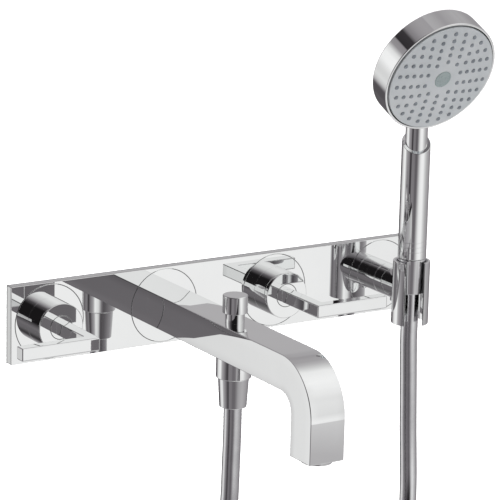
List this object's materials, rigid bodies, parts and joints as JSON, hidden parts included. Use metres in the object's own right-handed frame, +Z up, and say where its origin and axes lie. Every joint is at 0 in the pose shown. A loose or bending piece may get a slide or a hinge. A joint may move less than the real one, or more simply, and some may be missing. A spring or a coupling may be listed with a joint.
{
  "type": "wall mounted bath faucet",
  "caption": "Wall mounted bath faucet with lever valves, a square spout with a pull-up diverter, and a round hand shower on a hose in a swivelling holder.",
  "frame": {"origin": "middle of the back plate's wall side, on the finished wall", "axes": "+X along the plate towards the hand shower, +Y into the wall, +Z up; the faucet faces -Y"},
  "size_m": [0.417, 0.2595, 0.6134],
  "materials": {
    "chrome": "polished",
    "brass": "machined",
    "steel": "zinc plated",
    "rubber": "matt",
    "ceramic": "lapped",
    "plastic": "moulded",
    "face_grey": "satin",
    "nozzle_rubber": "translucent silicone",
    "hose_silver": "metallised smooth hose"
  },
  "bodies": {
    "mixer": {"cover_plate": "chrome", "plate_gasket": "rubber", "manifold_body": "brass", "wall_bracket": "steel", "left_rosette": "chrome", "spout_rosette": "chrome", "right_rosette": "chrome", "holder_rosette": "chrome", "left_valve_body": "brass", "right_valve_body": "brass", "left_cartridge_body": "plastic", "right_cartridge_body": "plastic", "valve_seals": "rubber", "ceramic_fixed_discs": "ceramic", "cartridge_nuts": "brass", "left_handle_sleeve": "chrome", "right_handle_sleeve": "chrome", "grub_screws": "steel", "spout_body": "chrome", "aerator_housing": "chrome", "aerator_insert": "plastic", "aerator_washer": "rubber", "diverter_body": "brass", "diverter_collar": "chrome", "diverter_spring": "steel", "shower_outlet": "chrome", "check_valve": "plastic", "lower_hose_washer": "rubber", "lower_hose_ferrule": "brass", "lower_hose_nut": "chrome", "hose_left": "hose_silver", "hose_coil": "hose_silver", "hose_right": "hose_silver", "hose_tie": "rubber", "holder_base": "chrome", "holder_friction_ring": "plastic", "holder_bolt": "steel"},
    "left_lever": {"left_lever_hub": "chrome", "left_lever_bar": "chrome", "left_spindle": "brass", "left_ceramic_disc": "ceramic"},
    "right_lever": {"right_lever_hub": "chrome", "right_lever_bar": "chrome", "right_spindle": "brass", "right_ceramic_disc": "ceramic"},
    "diverter": {"diverter_knob": "chrome", "diverter_rod": "steel", "diverter_piston": "brass"},
    "holder": {"holder_arm": "chrome", "holder_clip": "chrome", "holder_liner": "plastic", "holder_lock_screw": "chrome"},
    "hose_cone": {"upper_cone_nut": "chrome", "upper_hose_washer": "rubber"},
    "hand_shower": {"shower_grip": "chrome", "shower_neck": "chrome", "head_shell": "chrome", "spray_face": "face_grey", "nozzle_mat": "nozzle_rubber", "face_cap": "face_grey"}
  },
  "joints": [
    {"name": "left_lever_turn", "type": "hinge", "parent": "mixer", "child": "left_lever", "pos_m": [-0.153, 0, 0], "axis": [0, -1, 0], "range_deg": [0, 90]},
    {"name": "right_lever_turn", "type": "hinge", "parent": "mixer", "child": "right_lever", "pos_m": [0.051, 0, 0], "axis": [0, 1, 0], "range_deg": [0, 90]},
    {"name": "diverter_lift", "type": "slide", "parent": "mixer", "child": "diverter", "axis": [0, 0, 1], "range_m": [0, 0.008], "stiffness_N_per_m": 300, "springref_m": -0.006, "deforming": ["diverter_spring"]},
    {"name": "holder_swivel", "type": "hinge", "parent": "mixer", "child": "holder", "pos_m": [0.153, 0, 0], "axis": [0, 1, 0], "range_deg": [-30, 30], "deforming": ["hose_right"]},
    {"name": "hand_shower_lift", "type": "slide", "parent": "holder", "child": "hose_cone", "axis": [0, 0, 1], "range_m": [0, 0.06], "deforming": ["hose_right"]},
    {"name": "hand_shower_turn", "type": "hinge", "parent": "hose_cone", "child": "hand_shower", "pos_m": [0.153, -0.054, 0], "axis": [0, 0, 1], "continuous": true}
  ]
}
